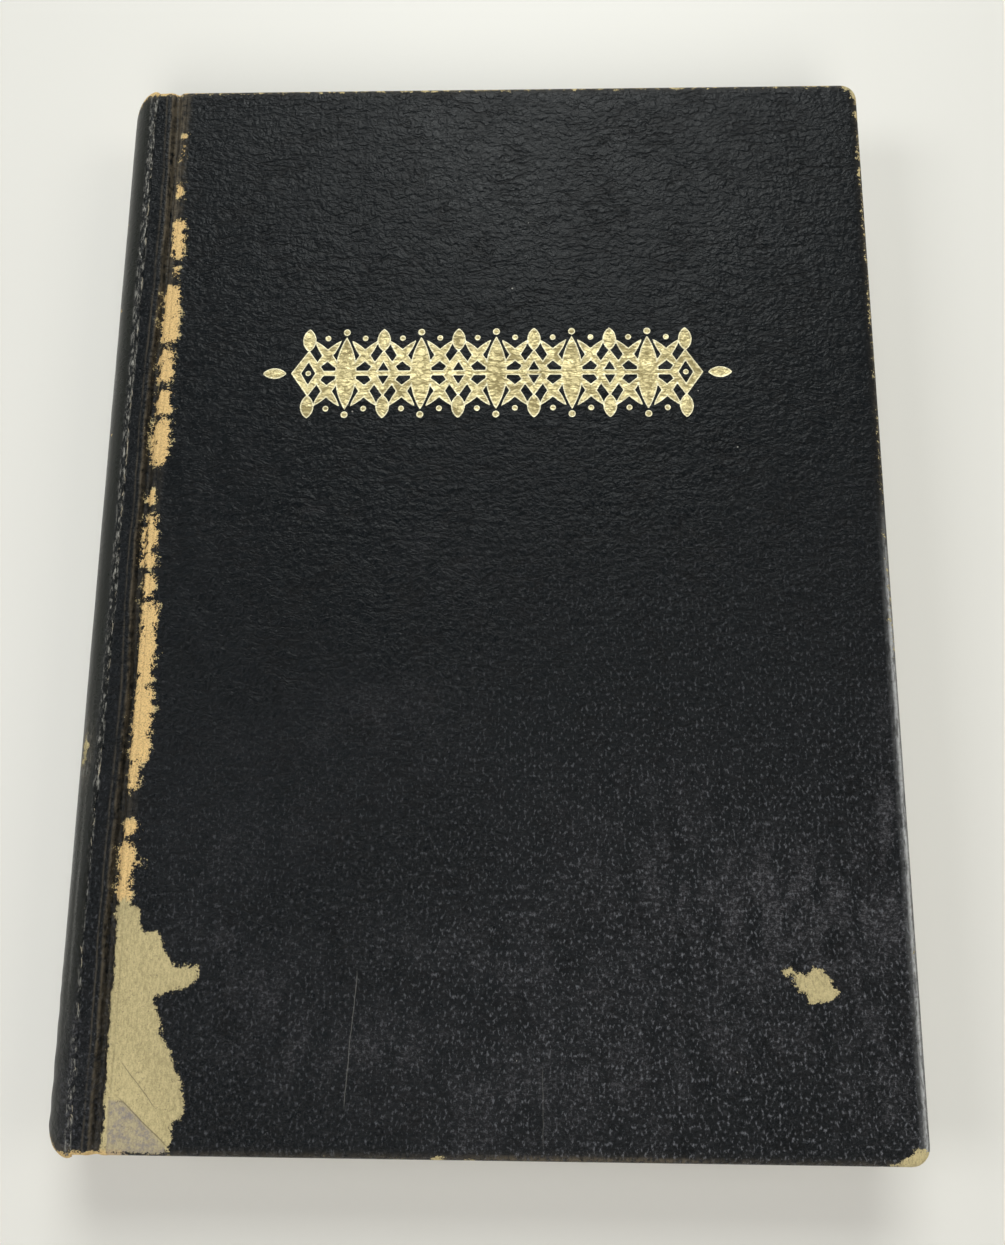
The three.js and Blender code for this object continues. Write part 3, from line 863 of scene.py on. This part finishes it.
# The part of a triangulated grid where a field is above zero, cut along the field's zero line.
def cutByField(xs, ys, field):
    columns = len(xs)
    gx, gy = (g.ravel() for g in np.meshgrid(xs, ys))
    f = field.ravel()
    quads = gridFaces(len(ys), columns)
    triangles = np.concatenate([quads[:, [0, 1, 2]], quads[:, [0, 2, 3]]])
    inside = f[triangles] > 0
    count = inside.sum(1)
    base = np.stack([gx, gy], -1)
    whole = triangles[count == 3]
    points, faces = [base[whole].reshape(-1, 2)], [np.arange(3 * len(whole)).reshape(-1, 3).tolist()]
    start = 3 * len(whole)
    for wanted in (1, 2):
        group = triangles[count == wanted]
        mark = f[group] > 0
        odd = np.argmax(mark if wanted == 1 else ~mark, axis=1)
        a, b, c = (np.take_along_axis(group, ((odd + k) % 3)[:, None], 1)[:, 0] for k in range(3))
        ab = base[a] + (base[b] - base[a]) * (f[a] / (f[a] - f[b]))[:, None]
        ac = base[a] + (base[c] - base[a]) * (f[a] / (f[a] - f[c]))[:, None]
        corners = [base[a], ab, ac] if wanted == 1 else [ab, base[b], base[c], ac]
        points.append(np.stack(corners, 1).reshape(-1, 2))
        n = len(corners)
        faces.append((start + np.arange(n * len(group)).reshape(-1, n)).tolist())
        start += n * len(group)
    return np.concatenate(points), sum(faces, [])


def makeOrnament():
    shape = ornament
    xs = np.arange(-shape["halfWidth"], shape["halfWidth"] + 0.01, shape["step"])
    ys = np.arange(-shape["halfHeight"], shape["halfHeight"] + 0.01, shape["step"])
    flat, faces = cutByField(xs, ys, friezeField(*np.meshgrid(xs, ys)))
    a, l = flat[:, 0] + shape["middle"][0], flat[:, 1] + shape["middle"][1]
    height = book["thickness"] - coverWarp(a, l) + shape["lift"]
    piece = makePiece("giltFrieze", np.stack([a, l, height], -1), faces, finish["foil"])
    applyModifier(piece, "WELD", merge_threshold=2e-6)
    mesh = piece.data
    co = np.zeros(len(mesh.vertices) * 3, np.float32)
    mesh.vertices.foreach_get("co", co)
    co = co.reshape(-1, 3) * 1000
    field = friezeField(co[:, 0] + book["width"] / 2 - shape["middle"][0], co[:, 1] - shape["middle"][1])
    mesh.attributes.new("foil", "FLOAT", "POINT").data.foreach_set("value", np.ascontiguousarray(field, np.float32))
    applyModifier(piece, "SOLIDIFY", thickness=2e-5, offset=-1)
    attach(piece, "front_cover")
    print("gilt frieze made:", len(piece.data.polygons), "faces")


makeOrnament()

# ---- loose fibres: in the shoulder crack and over the frayed spine


def makeFibres():
    random = np.random.default_rng(7)
    parts = []
    for y in random.uniform(-70, 71, 90):  # short broken threads lying in the crack
        length = random.uniform(0.8, 3.2)
        t = np.linspace(0, 1, 9)
        along = y + (t - 0.5) * length
        a = np.interp(along, *np.array(jointShape["crack"]).T) + random.uniform(-0.1, 0.16)
        a = a + 0.10 * np.sin(t * random.uniform(3, 8) + y)
        high = 13.78 + 0.10 * np.sin(np.pi * t) + random.uniform(-0.04, 0.03)
        radius = random.uniform(0.03, 0.055) * np.sin(np.pi * (0.1 + 0.8 * t))
        parts.append(tube(np.stack([a, along, high], -1), radius, 5))
    for k in range(15):  # diagonal threads from the frayed spine to the crack
        y = random.uniform(-28.5, -21.5)
        t = np.linspace(0, 1, 16)
        a = 0.9 + t * random.uniform(1.2, 2.6)
        along = y - t * random.uniform(-1.5, 4.5) + 0.3 * np.sin(t * 6 + k)
        f = np.clip((spineShape["centre"] - a) / spineShape["semiAcross"], 0, 1)
        face = 7 + spineShape["semiHigh"] * (1 - f ** spineShape["power"]) ** (1 / spineShape["power"])
        high = face + 0.03 + 0.25 * np.sin(np.pi * t) * random.uniform(0, 1)
        parts.append(tube(np.stack([a, along, high], -1), random.uniform(0.028, 0.045), 5))
    points, faces = joinParts(parts)
    piece = makePiece("looseFibres", points, faces, finish["fluff"])
    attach(piece, "case_spine")


makeFibres()
print("loose fibres made")

# ---- text block

block = {
    "centre": 7.605, "semiAcross": 5.4, "semiHigh": 6.0, "shoulder": 62.0, "flat": 9.0, "end": 104.8, "half": 70.8,
    "under": 3.32, "pitch": 7.36 / 12, "gap": 0.012,
}


# The curve between two gatherings: the fold's place on the round back, easing by a cube to its level where the
# leaves run flat.
def boundaryCurve(index, reach):
    turn = np.radians(block["shoulder"] * (index / 6 - 1))
    level = block["under"] + index * block["pitch"]
    foldAcross = block["centre"] - block["semiAcross"] * np.cos(turn)
    foldHigh = 7 + block["semiHigh"] * np.sin(turn)
    t = np.linspace(0, 1, 15)[:-1]
    far = np.r_[np.linspace(block["flat"], 22, 16), np.linspace(26, reach, 16)]
    a = np.r_[foldAcross + (block["flat"] - foldAcross) * t, far]
    h = np.r_[level + (foldHigh - level) * (1 - t) ** 3, np.full(len(far), level)]
    return a, h


# A gathering is a closed slab between two boundary curves, with a rounded fold and slightly uneven cut edges.
def makeGathering(number):
    random = np.random.default_rng(100 + number)
    lower = 12 - number
    hollow = 0.45 * (1 - ((number - 6.5) / 5.5) ** 2)
    reach = block["end"] - hollow - random.uniform(0, 0.12)
    lowAcross, lowHigh = boundaryCurve(lower, reach)
    topAcross, topHigh = boundaryCurve(lower + 1, reach)
    gap = block["gap"]
    layers = 5
    share = np.linspace(0, 1, layers)[:, None]
    a = lowAcross + (topAcross - lowAcross) * share
    h = (lowHigh + gap) + (topHigh - lowHigh - 2 * gap) * share
    bulge = 0.10 * (1 - (2 * share - 1) ** 2)
    a[:, 0] -= bulge[:, 0]
    a[:, 1] -= 0.4 * bulge[:, 0]
    level = np.broadcast_to(block["under"] + (lower + share) * block["pitch"], a.shape)
    half = block["half"] - random.uniform(0, 0.1)
    rows = np.linspace(-half, half, 9)
    steps = a.shape[1]
    # the section's outline: bottom outwards, fore edge up, top back, fold down
    ring = np.r_[np.arange(steps), steps - 1 + steps * np.arange(1, layers - 1),
                 (layers - 1) * steps + np.arange(steps)[::-1], steps * np.arange(layers - 2, 0, -1)]
    n = len(ring)
    outline = np.stack([a.ravel()[ring], h.ravel()[ring], level.ravel()[ring]], -1)
    points = np.concatenate([np.stack([outline[:, 0], np.full(n, y), outline[:, 1]], -1) for y in rows])
    side = np.arange(len(rows) * n).reshape(len(rows), n)
    side = np.hstack([side, side[:, :1]])
    skin, caps, first = quadsOf(side, (0, 3, 2, 1)), [], len(points)
    for y, flip in ((-half, False), (half, True)):
        points = np.concatenate([points, np.stack([a.ravel(), np.full(a.size, y), h.ravel()], -1)])
        caps.append(gridFaces(layers, steps, first, flip))
        first += a.size
    leaf = np.r_[np.tile(outline[:, 2], len(rows)), level.ravel(), level.ravel()]
    cut = np.r_[np.tile((outline[:, 0] > reach - 0.01).astype(float), len(rows)), np.ones(2 * a.size)]
    faces = np.concatenate([skin, *caps])
    piece = makePiece(f"leaves{number:02d}", points, faces, finish["pages"], {"leaf": leaf, "edge": cut}, sharp=40)
    applyModifier(piece, "WELD", merge_threshold=1e-6)
    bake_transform(piece)
    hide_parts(f"gathering_{number:02d}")


for number in range(1, 13):
    makeGathering(number)
print("gatherings made")

# ---- linings on the block's back

linings = {
    "stations": [-54, -18, 18, 54], "strands": (-2.2, -0.75, 0.75, 2.2), "flapDepth": 2.80,
    # CAD node: name, distance out, half angle, reach along the book, wall, finish, slot, bead, threads a millimetre
    "strips": {
        "mull": ("mullBack", 0.56, 62, (-63.8, 63.8), 0.15, "mull", "mull", 0, 1.0),
        "spine_liner": ("spineLiner", 0.71, 40, (-64.8, 64.8), 0.12, "kraft", "kraft_paper", 0, 2.2),
        "headband": ("headBand", 0.45, 50, (66.8, 71.4), 0.28, "band", "band_cloth", 0.22, 2.2),
        "tailband": ("tailBand", 0.45, 50, (-71.4, -66.8), 0.28, "band", "band_cloth", 0.22, 2.2),
    },
}


# A strip round the block's back: an arc of the back's ellipse, grown by its distance out, run along the book.
def backStrip(name, out, angle, reach, wall, look, bead, threads):
    turn = np.radians(np.linspace(-angle, angle, 40))
    along = np.linspace(*reach, max(3, int((reach[1] - reach[0]) / 1.2)))[:, None]
    grow = bead * bell(along, reach[1] if reach[1] > 0 else reach[0], 0.55)
    a = block["centre"] - (block["semiAcross"] + out + grow) * np.cos(turn)
    h = 7 + (block["semiHigh"] + out + grow) * np.sin(turn)
    values = {"threadA": block["semiHigh"] * turn * threads + 0 * a, "threadB": along * threads + 0 * a}
    return makeSheet(name, a, along, h, finish[look], values, True, wall)


def makeLinings():
    shape = linings
    for node, (name, out, angle, reach, wall, look, slot, bead, threads) in shape["strips"].items():
        piece = backStrip(name, out, angle, reach, wall, look, bead, threads)
        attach(piece, "case_spine")
        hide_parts(node)
    for number, station in enumerate(shape["stations"], 1):
        turn = np.radians(np.linspace(-60, 60, 60))
        strands = []
        for offset in shape["strands"]:
            grow = 0.16 + 0.02 * np.sin(turn * 40)
            a = block["centre"] - (block["semiAcross"] + grow) * np.cos(turn)
            h = 7 + (block["semiHigh"] + grow) * np.sin(turn)
            strands.append(tube(np.stack([a, station + offset + 0.12 * np.sin(turn * 9), h], -1), 0.11, 6))
        points, faces = joinParts(strands)
        piece = makePiece(f"sewing{number}", points, faces, finish["linen"])
        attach(piece, "case_spine")
        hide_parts(f"sewing_thread_{number}")
    for side in ("front", "back"):  # the mull's flaps, glued under the pastedowns
        a, l = np.meshgrid(np.linspace(8.3, 28, 40), np.linspace(-63.8, 63.8, 60))
        high = book["thickness"] - shape["flapDepth"] if side == "front" else shape["flapDepth"]
        values = {"threadA": a, "threadB": l}
        piece = makeSheet(side + "MullFlap", a, l, high, finish["mull"], values, side == "back", 0.14)
        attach(piece, side + "_cover")


makeLinings()
print("linings made")

# ---- finishes of the CAD nodes that stay

stays = {
    "front_board": "greyboard", "back_board": "greyboard", "spine_inlay": "kraft",
    "front_pastedown": "endpaper", "back_pastedown": "endpaper", "front_flyleaf": "endpaper",
    "back_flyleaf": "endpaper",
}
for node, look in stays.items():
    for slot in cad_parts[node].material_slots:
        slot.material = finish[look]

# ---- floor, light and camera

studio = {
    "floor": (0.82, 0.805, 0.755), "horizon": (0.58, 0.58, 0.565), "zenith": (0.04, 0.043, 0.048),
    # name, place in metres, size, power in watts, colour
    "lights": [
        ("frontSoft", (0.05, -0.64, 0.60), 0.34, 2.9, (1.0, 0.98, 0.94)),
        ("leftSoft", (-0.62, 0.02, 0.60), 0.34, 2.0, (0.98, 0.99, 1.0)),
        ("rightSoft", (0.64, 0.05, 0.62), 0.34, 1.2, (1.0, 0.965, 0.90)),
        ("headSheen", (0.02, 0.66, 0.60), 0.46, 4.9, (0.97, 1.0, 0.98)),
    ],
    "camera": {"place": (0.00554, -0.03411, 0.14641), "turn": (11.347, 1.405, 0.370), "lens": 29.30},
}


def makeStudio():
    material, tree, shader = newMaterial("paleFloor", Roughness=0.5)
    shade = tuple(c * 0.97 for c in studio["floor"])
    setInputs(tree, shader, {"Base Color": blend(noise(millimetres(tree), 0.01, 2.0), shade, studio["floor"])})
    edge = np.linspace(-1300, 1300, 7)
    makeSheet("floor", edge + 54, edge[:, None], -0.1, material)  # just under the book
    scene = bpy.context.scene
    scene.view_settings.view_transform = "Standard"
    world = bpy.data.worlds.new("studio")
    world.use_nodes = True
    sky = world.node_tree
    rise = remap(axes(outputOf(sky, "TexCoord", None, "Generated"))[2], 0.05, 0.55)
    setInputs(sky, sky.nodes["Background"], {"Color": blend(rise, studio["horizon"], studio["zenith"])})
    scene.world = world
    for name, where, size, power, colour in studio["lights"]:
        data = bpy.data.lights.new(name, "AREA")
        data.size, data.energy, data.color = size, power, colour
        light = bpy.data.objects.new(name, data)
        light.location = where
        toBook = -np.array(where)
        yaw = np.arctan2(toBook[1], toBook[0]) - np.pi / 2
        light.rotation_euler = (np.arccos(-toBook[2] / np.linalg.norm(toBook)), 0, yaw)
        scene.collection.objects.link(light)
    cameraData = bpy.data.cameras.new("camera")
    cameraData.lens, cameraData.sensor_width = studio["camera"]["lens"], 36
    cameraData.clip_start = 0.01
    camera = bpy.data.objects.new("camera", cameraData)
    camera.location = studio["camera"]["place"]
    camera.rotation_euler = np.radians(studio["camera"]["turn"])
    scene.collection.objects.link(camera)
    scene.camera = camera


makeStudio()
print("studio made")
